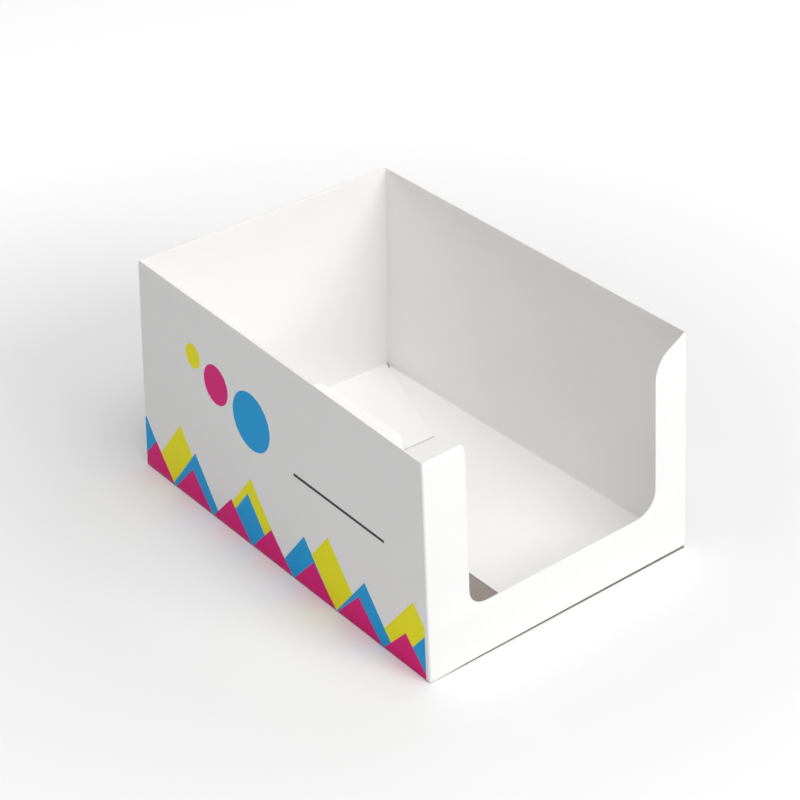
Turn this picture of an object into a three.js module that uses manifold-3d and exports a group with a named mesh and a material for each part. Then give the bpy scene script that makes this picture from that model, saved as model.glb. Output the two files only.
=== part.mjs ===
// Counter display box: an open tray folded from one sheet of white folding boxboard.
// Its front wall is cut down to a low rail between two posts. Its left bottom flap has sprung
// up off the others, so it swings about its crease and is a solid of its own.
// Millimetres, +Z up, front at -Y. The origin is on the table, under the middle of the tray.

import * as THREE from 'three';
import { mergeVertices } from 'three/addons/utils/BufferGeometryUtils.js';
import Module from 'manifold-3d';

const wasm = await Module();
wasm.setup();

// The tray
const width = 158;
const depth = 230;
const height = 117.5;
const board = 0.6;
const foldInside = 0.5;
const layerGap = 0.3;
const cornerRelief = 1.5;
const flapInset = 2.2;

// How far the corners of the rim are out of square, because the hand-folded walls lean a little
const rimSkew = THREE.MathUtils.degToRad(5);

// The opening cut in the front wall
const railHeight = 30;
const leftPost = 23.5;
const rightPost = 20.5;
const leftThroatRadius = 10;
const rightThroatRadius = 12;
const leftPostTopRadius = 8;
const rightPostTopRadius = 14;
const rightPostTopSlope = THREE.MathUtils.degToRad(25);

// The two large bottom flaps, hinged on the left and right walls
const largeFlapDepth = 92.4;
const largeFlapTipSetback = 128;
const largeFlapCornerRadius = 6;
const leftFlapTaper = THREE.MathUtils.degToRad(20);
const rightFlapTaper = THREE.MathUtils.degToRad(12);
const leftFlapLift = THREE.MathUtils.degToRad(20);

// The two small bottom flaps, hinged on the front and back walls
const backFlapDepth = 76;
const frontFlapDepth = 24;
const smallFlapTaper = THREE.MathUtils.degToRad(20);
const smallFlapTipRadius = 1.5;
const smallFlapInnerRadius = 6;
const smallFlapRelief = 20;

// The seam at the back left corner
const seamWidth = 14;
const seamEndInset = 5;
const seamTaper = THREE.MathUtils.degToRad(20);

// How finely round stretches and the leaning walls are divided
const arcSteps = 4;
const wallBands = 6;
const weldDistance = 1e-4;

// How far cutting and joining solids run past the board's faces
const overlap = 1;
const frontCutLength = 5;
const frontCutHeadroom = 10;
const seamBite = 0.2;

const foldOutside = foldInside + board;
const smallFlapLevel = board + layerGap;
const wallStart = smallFlapLevel + foldOutside;
const creaseLip = board / 2;
const hingeRadius = board / 2;
const hingeOut = foldOutside + creaseLip + layerGap + hingeRadius;

const white = new THREE.MeshStandardMaterial({ color: 0xf4f3f1, roughness: 0.55, metalness: 0 });
const whiteFlap = new THREE.MeshStandardMaterial({ color: 0xfbfbfa, roughness: 0.5, metalness: 0 });

// A closed mesh as a solid that can be joined and cut
function solid(geometry) {
  const bare = geometry.index ? geometry.toNonIndexed() : geometry.clone();
  bare.deleteAttribute('normal');
  bare.deleteAttribute('uv');
  const merged = mergeVertices(bare, weldDistance);
  return new wasm.Manifold(new wasm.Mesh({
    numProp: 3,
    vertProperties: new Float32Array(merged.attributes.position.array),
    triVerts: new Uint32Array(merged.index.array),
  }));
}

function geometryOf(manifold) {
  const mesh = manifold.getMesh();
  const geometry = new THREE.BufferGeometry();
  const points = new Float32Array(mesh.vertProperties);
  geometry.setAttribute('position', new THREE.BufferAttribute(points, 3));
  geometry.setIndex(new THREE.BufferAttribute(new Uint32Array(mesh.triVerts), 1));
  return geometry;
}

// A polygon whose corners [x, y, radius] are rounded where they have a radius
function roundedShape(corners) {
  const shape = new THREE.Shape();
  const count = corners.length;
  corners.forEach(([x, y, radius = 0], i) => {
    const corner = new THREE.Vector2(x, y);
    const before = new THREE.Vector2(...corners[(i + count - 1) % count]).sub(corner).normalize();
    const after = new THREE.Vector2(...corners[(i + 1) % count]).sub(corner).normalize();
    if (radius === 0) {
      if (i === 0) shape.moveTo(x, y);
      else shape.lineTo(x, y);
      return;
    }
    const halfAngle = Math.acos(THREE.MathUtils.clamp(before.dot(after), -1, 1)) / 2;
    const reach = radius / Math.tan(halfAngle);
    const start = corner.clone().addScaledVector(before, reach);
    const middle = corner.clone().add(
      before.clone().add(after).normalize().multiplyScalar(radius / Math.sin(halfAngle)));
    const end = corner.clone().addScaledVector(after, reach);
    const clockwise = before.cross(after) > 0;
    if (i === 0) shape.moveTo(start.x, start.y);
    shape.absarc(middle.x, middle.y, radius, Math.atan2(start.y - middle.y, start.x - middle.x),
      Math.atan2(end.y - middle.y, end.x - middle.x), clockwise);
  });
  return shape;
}

function extruded(shape, length) {
  return new THREE.ExtrudeGeometry(shape, {
    depth: length,
    bevelEnabled: false,
    curveSegments: arcSteps,
  });
}

// A prism whose section lies in the X-Z plane, running from Y = 0 to Y = length
function prismAlongY(shape, length) {
  return extruded(shape, length).rotateX(Math.PI / 2).translate(0, length, 0);
}

// The foot of a wall and the flap folded off it, in the wall's own frame: X inwards from the
// wall's outer face, Y along the wall, Z up. The crease's lowest point is at the given level.
function foldedFlap(reach, span, level, outline) {
  const top = wallStart + overlap;
  const section = new THREE.Shape();
  section.moveTo(0, top);
  section.lineTo(0, level + foldOutside);
  section.absarc(foldOutside, level + foldOutside, foldOutside, Math.PI, 1.5 * Math.PI, false);
  section.lineTo(reach, level);
  section.lineTo(reach, level + board);
  section.lineTo(foldOutside, level + board);
  section.absarc(foldOutside, level + foldOutside, foldInside, 1.5 * Math.PI, Math.PI, true);
  section.lineTo(board, top);
  section.closePath();
  const strip = solid(prismAlongY(section, span));
  const plan = solid(extruded(roundedShape(outline), top + 2 * overlap).translate(0, 0, -overlap));
  return strip.intersect(plan);
}

// The outline, seen from above, of a wall's foot over its whole span and of the flap off it,
// which runs between two places on the crease and tapers at each side
function flapOutline({ reach, span, from, to, startSlope, endSlope, startRadius, endRadius }) {
  return [
    [-overlap, cornerRelief],
    [board, cornerRelief],
    [board, from],
    [reach, from + (reach - board) * startSlope, startRadius],
    [reach, to - (reach - board) * endSlope, endRadius],
    [board, to],
    [board, span - cornerRelief],
    [-overlap, span - cornerRelief],
  ];
}

// Turns a flap from its wall's own frame to where that wall stands
function placed(flap, degrees, x, y) {
  return solid(geometryOf(flap).rotateZ(THREE.MathUtils.degToRad(degrees)).translate(x, y, 0));
}

// The four walls, as a ring with three creased corners and a square glued one at the back left
function walls() {
  const x = width / 2;
  const y = depth / 2;
  const ring = roundedShape([
    [-x, -y, foldOutside],
    [x, -y, foldOutside],
    [x, y, foldOutside],
    [-x, y],
  ]);
  const hollow = roundedShape([
    [-x + board, -y + board, foldInside],
    [x - board, -y + board, foldInside],
    [x - board, y - board, foldInside],
    [-x + board, y - board],
  ]);
  ring.holes.push(new THREE.Path(hollow.getPoints(arcSteps).reverse()));
  return solid(extruded(ring, height - wallStart).translate(0, 0, wallStart));
}

// What is cut from the front wall to leave the rail and the two posts
function frontOpening() {
  const left = -width / 2 + leftPost;
  const right = width / 2 - rightPost;
  const above = height + frontCutHeadroom;
  const slopeStart = width / 2 - foldOutside;
  const slopeEnd = height - (slopeStart - right) * Math.tan(rightPostTopSlope);
  const shape = roundedShape([
    [left - leftPostTopRadius - overlap, above],
    [left - leftPostTopRadius - overlap, height],
    [left, height, leftPostTopRadius],
    [left, railHeight, leftThroatRadius],
    [right, railHeight, rightThroatRadius],
    [right, slopeEnd, rightPostTopRadius],
    [slopeStart, height],
    [slopeStart, above],
  ]);
  const cut = prismAlongY(shape, frontCutLength);
  return solid(cut.translate(0, (-depth - frontCutLength) / 2, 0));
}

// The strip of the back wall that is glued to the inside of the left wall
function seam() {
  const low = wallStart + seamEndInset;
  const high = height - seamEndInset;
  const fall = seamWidth * Math.tan(seamTaper);
  const shape = new THREE.Shape();
  shape.moveTo(0, low);
  shape.lineTo(0, high);
  shape.lineTo(seamWidth, high - fall);
  shape.lineTo(seamWidth, low + fall);
  shape.closePath();
  const strip = extruded(shape, board + seamBite).rotateX(Math.PI / 2).rotateZ(-Math.PI / 2);
  return solid(strip.translate(-width / 2 + 2 * board, depth / 2 - board + seamBite, 0));
}

function rightFlap() {
  const outline = flapOutline({
    reach: largeFlapDepth,
    span: depth,
    from: flapInset,
    to: depth - flapInset,
    startSlope: (largeFlapTipSetback - flapInset) / (largeFlapDepth - board),
    endSlope: Math.tan(rightFlapTaper),
    startRadius: largeFlapCornerRadius,
    endRadius: largeFlapCornerRadius,
  });
  const flap = foldedFlap(largeFlapDepth, depth, 0, outline);
  return placed(flap, 180, width / 2, depth / 2);
}

function backFlap() {
  const outline = flapOutline({
    reach: backFlapDepth,
    span: width,
    from: smallFlapRelief,
    to: width - flapInset,
    startSlope: Math.tan(smallFlapTaper),
    endSlope: Math.tan(smallFlapTaper),
    startRadius: smallFlapInnerRadius,
    endRadius: smallFlapTipRadius,
  });
  const flap = foldedFlap(backFlapDepth, width, smallFlapLevel, outline);
  return placed(flap, -90, -width / 2, depth / 2);
}

function frontFlap() {
  const outline = flapOutline({
    reach: frontFlapDepth,
    span: width,
    from: flapInset,
    to: width - smallFlapRelief,
    startSlope: Math.tan(smallFlapTaper),
    endSlope: Math.tan(smallFlapTaper),
    startRadius: smallFlapInnerRadius,
    endRadius: smallFlapInnerRadius,
  });
  const flap = foldedFlap(frontFlapDepth, width, smallFlapLevel, outline);
  return placed(flap, 90, width / 2, -depth / 2);
}

// The left wall ends in a crease, off which its flap hangs
function leftFoot() {
  const reach = foldOutside + creaseLip;
  const outline = [
    [-overlap, cornerRelief],
    [reach + overlap, cornerRelief],
    [reach + overlap, depth - cornerRelief],
    [-overlap, depth - cornerRelief],
  ];
  return placed(foldedFlap(reach, depth, 0, outline), 0, -width / 2, -depth / 2);
}

// Splits each triangle that crosses a level into three, along that level
function slicedAt(level, geometry) {
  const points = geometry.attributes.position;
  const pieces = [];
  for (let i = 0; i < points.count; i += 3) {
    const corners = [0, 1, 2].map((k) => new THREE.Vector3().fromBufferAttribute(points, i + k));
    const above = corners.map((corner) => corner.z > level);
    const alone = (k) => above[k] !== above[(k + 1) % 3] && above[k] !== above[(k + 2) % 3];
    const lone = [0, 1, 2].find(alone);
    if (lone === undefined || corners.some((corner) => corner.z === level)) {
      pieces.push(...corners);
      continue;
    }
    const tip = corners[lone];
    const next = corners[(lone + 1) % 3];
    const last = corners[(lone + 2) % 3];
    const onNext = crossing(tip, next, level);
    const onLast = crossing(tip, last, level);
    pieces.push(tip, onNext, onLast, onNext, next, last, onNext, last, onLast);
  }
  return new THREE.BufferGeometry().setFromPoints(pieces);
}

// Where an edge crosses a level, worked out from its lower end for both of its triangles
function crossing(a, b, level) {
  const [low, high] = a.z < b.z ? [a, b] : [b, a];
  return low.clone().lerp(high, (level - low.z) / (high.z - low.z));
}

// Turns every level of the tray out of square, from nothing at the foot to the full skew at the rim
function leaned(geometry) {
  const points = geometry.attributes.position;
  for (let i = 0; i < points.count; i += 1) {
    const x = points.getX(i);
    const y = points.getY(i);
    const turn = (rimSkew / 2) * (points.getZ(i) / height);
    points.setXYZ(i, x * Math.cos(turn) + y * Math.sin(turn),
      x * Math.sin(turn) + y * Math.cos(turn), points.getZ(i));
  }
  return geometry;
}

// The sheet that makes the walls and three of the bottom flaps
function tray() {
  const sheet = walls()
    .subtract(frontOpening())
    .add(seam())
    .add(leftFoot())
    .add(rightFlap())
    .add(backFlap())
    .add(frontFlap());
  let geometry = geometryOf(sheet).toNonIndexed();
  for (let band = 1; band < wallBands; band += 1) {
    geometry = slicedAt((height * band) / wallBands, geometry);
  }
  return leaned(mergeVertices(geometry, weldDistance));
}

// The left bottom flap, flat, with its crease along Y at X = 0
function sprungFlap() {
  const reach = largeFlapDepth - hingeOut;
  const section = new THREE.Shape();
  section.moveTo(reach, -hingeRadius);
  section.lineTo(reach, hingeRadius);
  section.lineTo(0, hingeRadius);
  section.absarc(0, 0, hingeRadius, Math.PI / 2, 1.5 * Math.PI, false);
  section.closePath();
  const outline = roundedShape([
    [-overlap, flapInset],
    [0, flapInset],
    [reach, largeFlapTipSetback, largeFlapCornerRadius],
    [reach, depth - flapInset - reach * Math.tan(leftFlapTaper), largeFlapCornerRadius],
    [0, depth - flapInset],
    [-overlap, depth - flapInset],
  ]);
  const strip = solid(prismAlongY(section, depth));
  const plan = solid(extruded(outline, 2 * overlap).translate(0, 0, -overlap));
  return geometryOf(strip.intersect(plan));
}

const box = new THREE.Group();

const carton = new THREE.Mesh(tray(), white);
carton.name = 'tray';
box.add(carton);

const leftFlap = new THREE.Mesh(sprungFlap(), whiteFlap);
leftFlap.name = 'left_bottom_flap';
leftFlap.position.set(-width / 2 + hingeOut, -depth / 2, hingeRadius);
leftFlap.rotation.y = -leftFlapLift;
box.add(leftFlap);

export default box;
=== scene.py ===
import math

import bmesh
import bpy
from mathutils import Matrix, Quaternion, Vector


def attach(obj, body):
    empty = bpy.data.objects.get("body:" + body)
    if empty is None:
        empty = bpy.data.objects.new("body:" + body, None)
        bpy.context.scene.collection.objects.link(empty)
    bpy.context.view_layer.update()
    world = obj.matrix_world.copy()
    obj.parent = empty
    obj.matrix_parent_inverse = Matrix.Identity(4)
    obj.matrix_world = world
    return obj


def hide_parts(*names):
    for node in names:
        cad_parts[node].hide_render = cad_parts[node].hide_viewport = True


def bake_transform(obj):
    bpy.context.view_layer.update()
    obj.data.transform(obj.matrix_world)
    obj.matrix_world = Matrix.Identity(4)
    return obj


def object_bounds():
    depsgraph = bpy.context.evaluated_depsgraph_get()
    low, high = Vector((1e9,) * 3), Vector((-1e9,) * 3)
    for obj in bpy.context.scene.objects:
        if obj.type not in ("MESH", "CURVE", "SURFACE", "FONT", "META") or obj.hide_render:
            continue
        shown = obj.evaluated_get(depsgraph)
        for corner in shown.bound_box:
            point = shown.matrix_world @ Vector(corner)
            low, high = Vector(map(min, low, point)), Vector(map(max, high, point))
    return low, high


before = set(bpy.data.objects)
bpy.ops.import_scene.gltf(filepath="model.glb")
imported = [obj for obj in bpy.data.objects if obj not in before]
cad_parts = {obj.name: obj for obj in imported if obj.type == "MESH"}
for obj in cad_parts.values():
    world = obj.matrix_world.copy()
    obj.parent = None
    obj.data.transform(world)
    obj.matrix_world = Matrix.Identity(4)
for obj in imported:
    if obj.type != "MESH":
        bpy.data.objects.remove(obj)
cad_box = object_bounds()
bpy.ops.object.select_all(action="DESELECT")

# The four walls
# One sheet of white-lined folding boxboard, die-cut and creased, folds up into four walls. Three
# corners are creased. At the fourth, back left, the back wall turns in as a narrow tab, glued to
# the inside of the left wall, whose cut edge shows. Sizes are in metres, to the outer faces.
BOARD = 0.0006
WIDTH = 0.158
DEPTH = 0.230
HEIGHT = cad_box[1].z
CORNER_RELIEF = 0.0016
SLIT = 0.0002
SLIT_TOP = 0.0023
SMALL_FLAP_LEVEL = 0.0009
SMALL_FLAP_RELIEF = 0.020
SEAM_WIDTH = 0.014
SEAM_END_INSET = 0.005
SEAM_TAPER = math.radians(20)
GLUE = 0.00003
SAME_PLACE = 2e-5
half_board = BOARD / 2
wall_x = WIDTH / 2 - half_board
wall_y = DEPTH / 2 - half_board
relief_x = WIDTH / 2 - CORNER_RELIEF
relief_y = DEPTH / 2 - CORNER_RELIEF
small_crease = SMALL_FLAP_LEVEL + half_board
small_flap_start = -WIDTH / 2 + SMALL_FLAP_RELIEF
seam_x = -wall_x + BOARD + GLUE
seam_fall = SEAM_END_INSET + SEAM_WIDTH * math.tan(SEAM_TAPER)


def near(a, b):
    return abs(a - b) < SAME_PLACE


def pick(kind, wanted):
    """Selects only the vertices, edges or faces of the edited piece whose middle is wanted."""
    bpy.ops.mesh.select_mode(type=kind)
    bpy.ops.mesh.select_all(action="DESELECT")
    piece = bmesh.from_edit_mesh(bpy.context.object.data)
    for part in {"VERT": piece.verts, "EDGE": piece.edges, "FACE": piece.faces}[kind]:
        corners = [part] if kind == "VERT" else part.verts
        middle = sum((corner.co for corner in corners), Vector()) / len(corners)
        part.select_set(wanted(middle))
    piece.select_flush_mode()
    bmesh.update_edit_mesh(bpy.context.object.data)


def cut(place, normal, wanted):
    """Cuts the wanted faces along a plane."""
    pick("FACE", wanted)
    bpy.ops.mesh.bisect(plane_co=place, plane_no=normal)


def move(step, wanted):
    """Moves the wanted vertices."""
    pick("VERT", wanted)
    bpy.ops.transform.translate(value=step)


def extend(step, wanted):
    """Carries the sheet on from the wanted edges."""
    pick("EDGE", wanted)
    bpy.ops.mesh.extrude_region_move(TRANSFORM_OT_translate={"value": step})


bpy.ops.mesh.primitive_cube_add(size=1, location=(0, 0, (HEIGHT + half_board) / 2))
tray = bpy.context.object
tray.name = "folded_tray"
tray.scale = (2 * wall_x, 2 * wall_y, HEIGHT - half_board)
bpy.ops.object.transform_apply(location=True, rotation=False, scale=True)
bpy.ops.object.mode_set(mode="EDIT")
pick("FACE", lambda m: near(m.z, HEIGHT) or near(m.z, half_board))
bpy.ops.mesh.delete(type="FACE")
for x in (-relief_x - SLIT, -relief_x, relief_x, relief_x + SLIT, small_flap_start):
    cut((x, 0, 0), (1, 0, 0), lambda m: near(abs(m.y), wall_y))
for y in (-relief_y - SLIT, -relief_y, relief_y, relief_y + SLIT):
    cut((0, y, 0), (0, 1, 0), lambda m: near(abs(m.x), wall_x))

cut((0, 0, SLIT_TOP), (0, 0, 1), lambda m: abs(m.x) > relief_x and abs(m.y) > relief_y)
pick("FACE", lambda m: abs(m.x) > relief_x and abs(m.y) > relief_y and m.z < SLIT_TOP
     and (abs(m.x) < relief_x + SLIT or abs(m.y) < relief_y + SLIT))
bpy.ops.mesh.delete(type="FACE")
move((0, 0, SMALL_FLAP_LEVEL),
     lambda m: near(m.z, half_board) and near(abs(m.y), wall_y)
     and small_flap_start - SLIT < m.x < relief_x + SLIT / 2)

pick("EDGE", lambda m: near(m.x, -wall_x) and near(m.y, wall_y))
bpy.ops.mesh.edge_split(type="EDGE")
sheet = bmesh.from_edit_mesh(tray.data)
seam_edge = [v for v in sheet.verts if near(v.co.x, -wall_x) and near(v.co.y, wall_y)]
back_wall_end = [v for v in seam_edge if any(near(f.normal.y, 1) for f in v.link_faces)]
left_wall_end = [v for v in seam_edge if v not in back_wall_end]
for vertex in left_wall_end:
    vertex.co.y = DEPTH / 2
for vertex in back_wall_end:
    vertex.co.x += BOARD + GLUE
bmesh.update_edit_mesh(tray.data)
extend((0, -SEAM_WIDTH, 0),
       lambda m: near(m.x, seam_x) and near(m.y, wall_y) and m.z > SLIT_TOP)
move((0, 0, -seam_fall),
     lambda m: near(m.x, seam_x) and near(m.y, wall_y - SEAM_WIDTH) and m.z > HEIGHT / 2)
move((0, 0, seam_fall),
     lambda m: near(m.x, seam_x) and near(m.y, wall_y - SEAM_WIDTH) and m.z < HEIGHT / 2)

# The opening in the front wall
# The cutting rule takes out the middle of the front wall down to a low rail. It leaves a post at
# each side, of unequal widths, with rounded throats. The right post's top slopes down.
RAIL_HEIGHT = 0.030
LEFT_POST = 0.0235
RIGHT_POST = 0.0205
LEFT_THROAT_RADIUS = 0.010
RIGHT_THROAT_RADIUS = 0.012
LEFT_TOP_RADIUS = 0.008
RIGHT_TOP_RADIUS = 0.014
RIGHT_TOP_SLOPE = math.radians(25)
CORNER_SEGMENTS = 8
opening_left = -WIDTH / 2 + LEFT_POST
opening_right = WIDTH / 2 - RIGHT_POST
right_top_fall = (relief_x - opening_right) * math.tan(RIGHT_TOP_SLOPE)
square = math.radians(90)


def round_corner(radius, between, wanted):
    """Rounds the wanted corners of an outline, which stand at the angle between their sides."""
    pick("VERT", wanted)
    reach = radius / math.tan(between / 2)
    bpy.ops.mesh.bevel(offset=reach, segments=CORNER_SEGMENTS, profile=0.5, affect="VERTICES")


pick("FACE", lambda m: near(m.y, -wall_y) and -relief_x < m.x < relief_x)
bpy.ops.mesh.dissolve_faces()
cut((0, 0, RAIL_HEIGHT), (0, 0, 1),
    lambda m: near(m.y, -wall_y) and -relief_x < m.x < relief_x)
for x in (opening_left, opening_right):
    cut((x, 0, 0), (1, 0, 0),
        lambda m: near(m.y, -wall_y) and abs(m.x) < relief_x and m.z > RAIL_HEIGHT)
pick("FACE", lambda m: near(m.y, -wall_y) and opening_left < m.x < opening_right
     and m.z > RAIL_HEIGHT)
bpy.ops.mesh.delete(type="FACE")
pick("EDGE", lambda m: near(m.y, -wall_y) and near(m.z, RAIL_HEIGHT)
     and not opening_left < m.x < opening_right)
bpy.ops.mesh.dissolve_edges(use_verts=False)
move((0, 0, -right_top_fall),
     lambda m: near(m.y, -wall_y) and near(m.x, opening_right) and near(m.z, HEIGHT))
round_corner(RIGHT_TOP_RADIUS, square + RIGHT_TOP_SLOPE,
             lambda m: near(m.x, opening_right) and near(m.z, HEIGHT - right_top_fall))
round_corner(LEFT_TOP_RADIUS, square,
             lambda m: near(m.x, opening_left) and near(m.z, HEIGHT) and m.y < 0)
round_corner(LEFT_THROAT_RADIUS, square,
             lambda m: near(m.x, opening_left) and near(m.z, RAIL_HEIGHT))
round_corner(RIGHT_THROAT_RADIUS, square,
             lambda m: near(m.x, opening_right) and near(m.z, RAIL_HEIGHT))

# The bottom flaps
# The right flap lies on the table. The back and front flaps lie over it, and taper so that they
# clear their neighbours as they fold in. The left wall ends in its crease: its flap comes below.
LARGE_FLAP_DEPTH = 0.0924
LARGE_FLAP_TIP_SETBACK = 0.128
LARGE_FLAP_RADIUS = 0.006
RIGHT_FLAP_TAPER = math.radians(12)
BACK_FLAP_DEPTH = 0.076
FRONT_FLAP_DEPTH = 0.024
SMALL_FLAP_TAPER = math.radians(20)
SMALL_FLAP_INNER_RADIUS = 0.006
SMALL_FLAP_TIP_RADIUS = 0.0015
LEFT_LIP = 0.0011
far_right = wall_x - LARGE_FLAP_DEPTH
far_back = wall_y - BACK_FLAP_DEPTH
far_front = -wall_y + FRONT_FLAP_DEPTH
right_taper = LARGE_FLAP_DEPTH * math.tan(RIGHT_FLAP_TAPER)
large_setback = LARGE_FLAP_TIP_SETBACK - CORNER_RELIEF


def on_large_crease(side):
    return lambda m: near(m.x, side * wall_x) and near(m.z, half_board) and abs(m.y) < relief_y


def on_small_crease(side):
    return lambda m: (near(m.y, side * wall_y) and near(m.z, small_crease)
                      and small_flap_start < m.x < relief_x)


extend((-LARGE_FLAP_DEPTH, 0, 0), on_large_crease(1))
move((0, -large_setback, 0), lambda m: near(m.x, far_right) and m.y > 0)
move((0, right_taper, 0), lambda m: near(m.x, far_right) and m.y < -relief_y + right_taper)
round_corner(LARGE_FLAP_RADIUS, square + math.atan(large_setback / LARGE_FLAP_DEPTH),
             lambda m: near(m.x, far_right) and m.y > -relief_y / 2)
round_corner(LARGE_FLAP_RADIUS, square + RIGHT_FLAP_TAPER,
             lambda m: near(m.x, far_right) and near(m.y, -relief_y + right_taper))

extend((0, -BACK_FLAP_DEPTH, 0), on_small_crease(1))
extend((0, FRONT_FLAP_DEPTH, 0), on_small_crease(-1))
for far, reach in ((far_back, BACK_FLAP_DEPTH), (far_front, FRONT_FLAP_DEPTH)):
    taper = reach * math.tan(SMALL_FLAP_TAPER)
    move((taper, 0, 0), lambda m: near(m.y, far) and near(m.x, small_flap_start))
    move((-taper, 0, 0), lambda m: near(m.y, far) and near(m.x, relief_x))
    round_corner(SMALL_FLAP_INNER_RADIUS, square + SMALL_FLAP_TAPER,
                 lambda m: near(m.y, far) and near(m.x, small_flap_start + taper))
    round_corner(SMALL_FLAP_TIP_RADIUS, square + SMALL_FLAP_TAPER,
                 lambda m: near(m.y, far) and near(m.x, relief_x - taper))

extend((LEFT_LIP, 0, 0), on_large_crease(-1))

# The creases
# A crease is a bruised line that the board bends round with a small radius, at the corners of the
# walls, at the glued tab and along the foot of each wall.
FOLD_RADIUS = 0.0008
FOLD_SEGMENTS = 5
WELD = 1e-6


def crease(wanted):
    """Folds the board round its mid-plane radius along the wanted edges."""
    pick("EDGE", wanted)
    bpy.ops.mesh.bevel(offset=FOLD_RADIUS, segments=FOLD_SEGMENTS, profile=0.5, affect="EDGES")


crease(lambda m: near(m.x, wall_x) and near(m.y, -wall_y))
crease(lambda m: near(m.x, wall_x) and near(m.y, wall_y))
crease(lambda m: near(m.x, -wall_x) and near(m.y, -wall_y))
crease(lambda m: near(m.x, seam_x) and near(m.y, wall_y))
crease(lambda m: near(abs(m.x), wall_x) and near(m.z, half_board) and abs(m.y) < relief_y / 2)
crease(on_small_crease(1))
crease(on_small_crease(-1))
bpy.ops.mesh.select_all(action="SELECT")
bpy.ops.mesh.remove_doubles(threshold=WELD)
bpy.ops.mesh.normals_make_consistent(inside=False)

# The lean of the walls
# The box was folded by hand and stands a little out of square: its rim is skewed, and its foot
# isn't. The flat place of each point is kept for the print and for the grain of the board.
RIM_SKEW = math.radians(5)
WALL_BANDS = 30
for band in range(1, WALL_BANDS):
    bpy.ops.mesh.select_all(action="SELECT")
    bpy.ops.mesh.bisect(plane_co=(0, 0, HEIGHT * band / WALL_BANDS), plane_no=(0, 0, 1))
bpy.ops.object.mode_set(mode="OBJECT")


def keep_flat_place(piece):
    flat = piece.data.attributes.new("flat", "FLOAT_VECTOR", "POINT")
    for vertex, place in zip(piece.data.vertices, flat.data):
        place.vector = vertex.co


keep_flat_place(tray)
for vertex in tray.data.vertices:
    turn = RIM_SKEW / 2 * vertex.co.z / HEIGHT
    x, y, z = vertex.co
    vertex.co = (x * math.cos(turn) + y * math.sin(turn),
                 x * math.sin(turn) + y * math.cos(turn), z)

# The board's surfaces
# Outside, the board is clay-coated and calendered: white, even and faintly glossy. Inside, its
# liner is uncoated, warmer and mottled with fibres. A cut edge shows the cream core between them.
COATED_WHITE = (0.91, 0.905, 0.9, 1)
COATED_SHADE = (0.89, 0.885, 0.88, 1)
LINER_WHITE = (0.94, 0.932, 0.922, 1)
LINER_SHADE = (0.92, 0.91, 0.898, 1)
LINER_ROUGHNESS = 0.68
LINER_ROUGHNESS_RANGE = 0.12
CORE_CREAM = (0.95, 0.94, 0.92, 1)
CORE_SHADE = (0.87, 0.85, 0.81, 1)
CORE_ROUGHNESS = 0.85
BOARD_IOR = 1.3
MOTTLE_SCALE = 160
LINER_FIBRE_SCALE = 2600
CORE_LAYER_SCALE = 4000
FIBRE_HARSHNESS = 0.6


class Pattern:
    """A number, colour or vector that changes over a surface, as the socket that gives it."""

    def __init__(self, tree, socket=None):
        self.tree = tree
        self.socket = socket

    def node(self, kind, settings, values, output=0):
        made = self.tree.nodes.new(kind)
        for name, setting in settings.items():
            setattr(made, name, setting)
        for name, value in values.items():
            if isinstance(value, Pattern):
                self.tree.links.new(value.socket, made.inputs[name])
            else:
                made.inputs[name].default_value = value
        return Pattern(self.tree, made.outputs[output])

    def maths(self, operation, *others, first=None):
        values = [first if first is not None else self, *others]
        return self.node("ShaderNodeMath", {"operation": operation}, dict(enumerate(values)))

    def __add__(self, other):
        return self.maths("ADD", other)

    __radd__ = __add__

    def __sub__(self, other):
        return self.maths("SUBTRACT", other)

    def __rsub__(self, other):
        return self.maths("SUBTRACT", self, first=other)

    def __mul__(self, other):
        return self.maths("MULTIPLY", other)

    __rmul__ = __mul__

    def __truediv__(self, other):
        return self.maths("DIVIDE", other)

    def __lt__(self, other):
        return self.maths("LESS_THAN", other)

    def __gt__(self, other):
        return self.maths("GREATER_THAN", other)


def board_surface(name):
    """A new board material: its shader, and where each point lies on the flat blank."""
    material = bpy.data.materials.new(name)
    material.use_nodes = True
    shader = material.node_tree.nodes["Principled BSDF"]
    shader.inputs["IOR"].default_value = BOARD_IOR
    start = Pattern(material.node_tree)
    place = start.node("ShaderNodeAttribute", {"attribute_name": "flat"}, {}, output="Vector")
    return material, shader, place


def feed(shader, socket, pattern):
    pattern.tree.links.new(pattern.socket, shader.inputs[socket])


def mixed(start, amount, a, b):
    """Two colours, mixed. A Mix node's colours are its sockets 6 and 7, and its output 2."""
    return start.node("ShaderNodeMix", {"data_type": "RGBA"}, {0: amount, 6: a, 7: b}, output=2)


def axis(place, name):
    return place.node("ShaderNodeSeparateXYZ", {}, {"Vector": place}, output=name)


def fibres(place, scale, detail):
    values = {"Vector": place, "Scale": scale, "Detail": detail, "Roughness": FIBRE_HARSHNESS}
    return place.node("ShaderNodeTexNoise", {}, values)


def relief(height, distance, strength):
    values = {"Height": height, "Distance": distance, "Strength": strength}
    return height.node("ShaderNodeBump", {}, values)


inside, shader, place = board_surface("uncoated liner")
mottle = fibres(place, MOTTLE_SCALE, detail=5)
feed(shader, "Base Color", mixed(place, mottle, LINER_WHITE, LINER_SHADE))
fine = fibres(place, LINER_FIBRE_SCALE, detail=3)
feed(shader, "Roughness", fine * LINER_ROUGHNESS_RANGE + LINER_ROUGHNESS)
feed(shader, "Normal", relief(fine, distance=0.00003, strength=0.35))

edge, shader, place = board_surface("cut edge")
shader.inputs["Roughness"].default_value = CORE_ROUGHNESS
layers = fibres(place, CORE_LAYER_SCALE, detail=4)
feed(shader, "Base Color", mixed(place, layers, CORE_CREAM, CORE_SHADE))
feed(shader, "Normal", relief(layers, distance=0.00005, strength=0.6))

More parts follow.
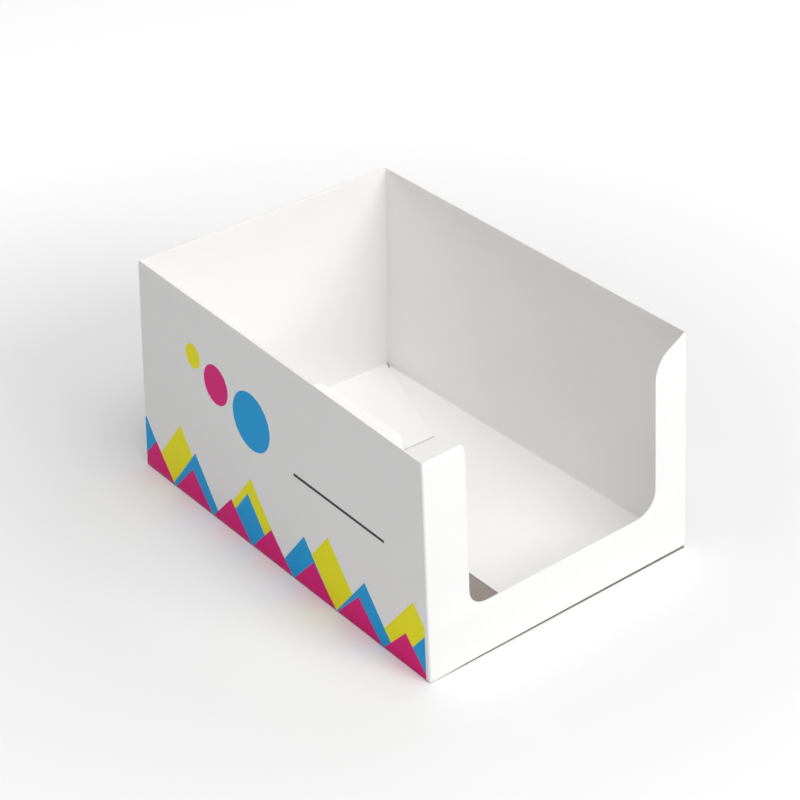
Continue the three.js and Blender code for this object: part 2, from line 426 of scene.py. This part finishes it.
# The print
# Flat offset inks on the outside of the left wall, over the bare coated white: rows of peaks along
# the foot, three discs above them and a thin rule. The print stops short of the front fold.
PRINT_BLUE = (0.0, 0.37, 0.8, 1)
PRINT_MAGENTA = (0.78, 0.0, 0.2, 1)
PRINT_YELLOW = (0.94, 0.87, 0.0, 1)
PRINT_GREY = (0.05, 0.05, 0.055, 1)
PRINT_MARGIN = 0.0025
FACE_DEPTH = 0.0001
ROW_START = -1.0
COATED_GLOSS = 0.22
COATED_ROUGHNESS = 0.34
COATED_ROUGHNESS_RANGE = 0.08
COATING_SCALE = 1800

outside, shader, place = board_surface("coated and printed face")
shader.inputs["Specular IOR Level"].default_value = COATED_GLOSS
along = axis(place, "Y")
up = axis(place, "Z")
on_wall = (axis(place, "X") < -wall_x + FACE_DEPTH) * (along > -DEPTH / 2 + PRINT_MARGIN)


def peaks(half_width, height, shift):
    """Where a row of triangular peaks covers the wall above its foot."""
    slope = (along + (shift - ROW_START)).maths("PINGPONG", half_width) / half_width
    return up < slope * height


def disc(y, z, radius):
    return (along - y).maths("POWER", 2) + (up - z).maths("POWER", 2) < radius ** 2


def rule(y_from, y_to, z, thickness):
    return (along > y_from) * (along < y_to) * ((up - z).maths("ABSOLUTE") < thickness / 2)


ink = mixed(place, fibres(place, MOTTLE_SCALE, detail=3), COATED_WHITE, COATED_SHADE)
for colour, mark in (
    (PRINT_YELLOW, peaks(half_width=0.031, height=0.040, shift=0.004)),
    (PRINT_BLUE, peaks(half_width=0.023, height=0.030, shift=0.013)),
    (PRINT_MAGENTA, peaks(half_width=0.017, height=0.019, shift=0.0)),
    (PRINT_YELLOW, disc(y=0.066, z=0.086, radius=0.0065)),
    (PRINT_MAGENTA, disc(y=0.046, z=0.079, radius=0.0105)),
    (PRINT_BLUE, disc(y=0.016, z=0.073, radius=0.0155)),
    (PRINT_GREY, rule(y_from=-0.086, y_to=-0.018, z=0.0615, thickness=0.0016)),
):
    ink = mixed(place, mark * on_wall, ink, colour)
feed(shader, "Base Color", ink)
fine = fibres(place, COATING_SCALE, detail=2)
feed(shader, "Roughness", fine * COATED_ROUGHNESS_RANGE + COATED_ROUGHNESS)
feed(shader, "Normal", relief(fine, distance=0.00002, strength=0.15))

# The thickness of the board
# The sheet so far is the board's middle plane. It gets its real thickness about that plane, with
# the coated face outside, the liner inside and the core at the cut edges, which are a little worn.
EDGE_WEAR = 0.00005
WEAR_SEGMENTS = 2
WORN_FROM = math.radians(50)
SMOOTH_BELOW = math.radians(35)


def give_thickness(piece):
    for surface in (outside, inside, edge):
        piece.data.materials.append(surface)
    thick = piece.modifiers.new("board", "SOLIDIFY")
    thick.thickness = BOARD
    thick.offset = 0
    thick.use_even_offset = True
    thick.material_offset = 1
    thick.material_offset_rim = 2
    bpy.ops.object.modifier_apply(modifier=thick.name)
    worn = piece.modifiers.new("worn edges", "BEVEL")
    worn.width = EDGE_WEAR
    worn.segments = WEAR_SEGMENTS
    worn.limit_method = "ANGLE"
    worn.angle_limit = WORN_FROM
    bpy.ops.object.modifier_apply(modifier=worn.name)
    bpy.ops.object.shade_smooth_by_angle(angle=SMOOTH_BELOW)


give_thickness(tray)
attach(tray, "tray")
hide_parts("tray")

# The sprung flap
# The left bottom flap should lock over the others, but has sprung up off them. It bends at the
# crease of the left wall.
LEFT_FLAP_LIFT = math.radians(20)
LEFT_FLAP_TAPER = math.radians(20)
HINGE_INSET = 0.002
LIP_GAP = 0.00002
BEND_SEGMENTS = 6
hinge = Vector((-WIDTH / 2 + HINGE_INSET, 0, half_board))
flap_reach = LARGE_FLAP_DEPTH - HINGE_INSET
far_left = hinge.x + flap_reach
left_taper = flap_reach * math.tan(LEFT_FLAP_TAPER)
lip_end = -wall_x + LEFT_LIP + LIP_GAP

bpy.ops.object.select_all(action="DESELECT")
bpy.ops.mesh.primitive_plane_add(size=1, location=(hinge.x + flap_reach / 2, 0, hinge.z))
flap = bpy.context.object
flap.name = "sprung_flap"
flap.scale = (flap_reach, 2 * relief_y, 1)
bpy.ops.object.transform_apply(location=True, rotation=False, scale=True)
bpy.ops.object.mode_set(mode="EDIT")
extend((lip_end - hinge.x, 0, 0), lambda m: near(m.x, hinge.x))
move((0, large_setback, 0), lambda m: near(m.x, far_left) and m.y < 0)
move((0, -left_taper, 0), lambda m: near(m.x, far_left) and near(m.y, relief_y))
round_corner(LARGE_FLAP_RADIUS, square + math.atan(large_setback / flap_reach),
             lambda m: near(m.x, far_left) and m.y < relief_y / 2)
round_corner(LARGE_FLAP_RADIUS, square + LEFT_FLAP_TAPER,
             lambda m: near(m.x, far_left) and near(m.y, relief_y - left_taper))
bpy.ops.object.mode_set(mode="OBJECT")
keep_flat_place(flap)
bpy.ops.object.mode_set(mode="EDIT")
pick("VERT", lambda m: m.x > hinge.x + half_board)
bpy.ops.transform.rotate(value=LEFT_FLAP_LIFT, orient_axis="Y", center_override=hinge)
pick("EDGE", lambda m: near(m.x, hinge.x))
bpy.ops.mesh.bevel(offset=half_board, segments=BEND_SEGMENTS, profile=0.5, affect="EDGES")
bpy.ops.mesh.select_all(action="SELECT")
bpy.ops.mesh.normals_make_consistent(inside=False)
bpy.ops.object.mode_set(mode="OBJECT")
if sum(face.normal.z * face.area for face in flap.data.polygons) > 0:
    flap.data.flip_normals()
give_thickness(flap)
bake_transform(flap)
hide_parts("left_bottom_flap")

# The table and the light
# The box stands on a seamless white sweep. Where the sweep shows through the gap in the bottom,
# under the box, its colour is painted dark as the box's deep shadow. A broad soft light comes from
# the front and a weaker one from above, so the left faces lie in shade.
FLOOR_SIZE = 12
FLOOR_WHITE = (0.86, 0.86, 0.86, 1)
# Painted shade: this colour of the sweep under the box stands for the deep shadow seen through the
# gap.
PAINTED_SHADE_UNDER_BOX = (0.36, 0.31, 0.285, 1)
FLOOR_ROUGHNESS = 0.9
FLOOR_GLOSS = 0.1
NEAR_LIFT = 0.03
FAR_LIFT = 0.32
LIFT_FROM = 0.17
LIFT_OVER = 0.36
ROOM_LEVEL = 0.16
ROOM_ABOVE = 0.4
WHITE = (1, 1, 1, 1)


def seen_as_backdrop(start):
    """Where a surface is seen by the camera, straight or by way of a glossy or clear one."""
    camera, glossy, through = (start.node("ShaderNodeLightPath", {}, {}, output=f"Is {kind} Ray")
                               for kind in ("Camera", "Glossy", "Transmission"))
    return camera.maths("MAXIMUM", glossy).maths("MAXIMUM", through)


bpy.ops.mesh.primitive_plane_add(size=FLOOR_SIZE, location=(0, 0, 0))
floor = bpy.context.object
floor.name = "floor"
paper = bpy.data.materials.new("white sweep")
paper.use_nodes = True
shader = paper.node_tree.nodes["Principled BSDF"]
shader.inputs["Roughness"].default_value = FLOOR_ROUGHNESS
shader.inputs["Specular IOR Level"].default_value = FLOOR_GLOSS
shader.inputs["Emission Color"].default_value = WHITE
on_floor = Pattern(paper.node_tree)
spot = on_floor.node("ShaderNodeTexCoord", {}, {}, output="Object")
# Painted shade: the box's footprint on the sweep takes the dark colour and is kept out of the
# backdrop lift.
painted_shade_footprint = ((axis(spot, "X").maths("ABSOLUTE") < wall_x)
         * (axis(spot, "Y").maths("ABSOLUTE") < wall_y))
feed(shader, "Base Color", mixed(on_floor, painted_shade_footprint, FLOOR_WHITE, PAINTED_SHADE_UNDER_BOX))
distance = spot.node("ShaderNodeVectorMath", {"operation": "LENGTH"}, {0: spot}, output="Value")
away = ((distance - LIFT_FROM) / LIFT_OVER).maths("MAXIMUM", 0).maths("MINIMUM", 1)
lift = away * FAR_LIFT + NEAR_LIFT
feed(shader, "Emission Strength", seen_as_backdrop(on_floor) * (1 - painted_shade_footprint) * lift)
floor.data.materials.append(paper)


def lamp(name, place, size, power):
    """A round soft light that faces the middle of the table."""
    data = bpy.data.lights.new(name, "AREA")
    data.shape = "DISK"
    data.size = size
    data.energy = power
    light = bpy.data.objects.new(name, data)
    light.location = place
    light.rotation_mode = "QUATERNION"
    light.rotation_quaternion = (-Vector(place)).to_track_quat("-Z", "Y")
    bpy.context.scene.collection.objects.link(light)


lamp("front light", place=(0.4, -2.0, 1.1), size=1.2, power=22)
lamp("top light", place=(-0.2, -0.7, 2.1), size=1.4, power=19)

world = bpy.data.worlds.new("studio")
bpy.context.scene.world = world
world.use_nodes = True
background = world.node_tree.nodes["Background"]
background.inputs["Color"].default_value = WHITE
around = Pattern(world.node_tree)
direction = around.node("ShaderNodeTexCoord", {}, {}, output="Generated")
room = axis(direction, "Z").maths("MAXIMUM", 0) * ROOM_ABOVE + ROOM_LEVEL
seen = seen_as_backdrop(around)
feed(background, "Strength", (1 - seen) * room + seen)

# The camera
# It looks down on the front left corner of the box from a little under a metre away.
CAMERA_PLACE = Vector((-0.47689, -0.61264, 0.52696))
CAMERA_AIM = Vector((0.01548, 0.02296, 0.04381))
CAMERA_ROLL = math.radians(-1.53)
CAMERA_LENS = 84.86
SENSOR_WIDTH = 36
camera_data = bpy.data.cameras.new("camera")
camera_data.lens = CAMERA_LENS
camera_data.sensor_width = SENSOR_WIDTH
camera = bpy.data.objects.new("camera", camera_data)
camera.location = CAMERA_PLACE
camera.rotation_mode = "QUATERNION"
straight = (CAMERA_AIM - CAMERA_PLACE).to_track_quat("-Z", "Y")
camera.rotation_quaternion = straight @ Quaternion((0, 0, 1), CAMERA_ROLL)
bpy.context.scene.collection.objects.link(camera)
bpy.context.scene.camera = camera
bpy.context.scene.view_settings.view_transform = "Standard"
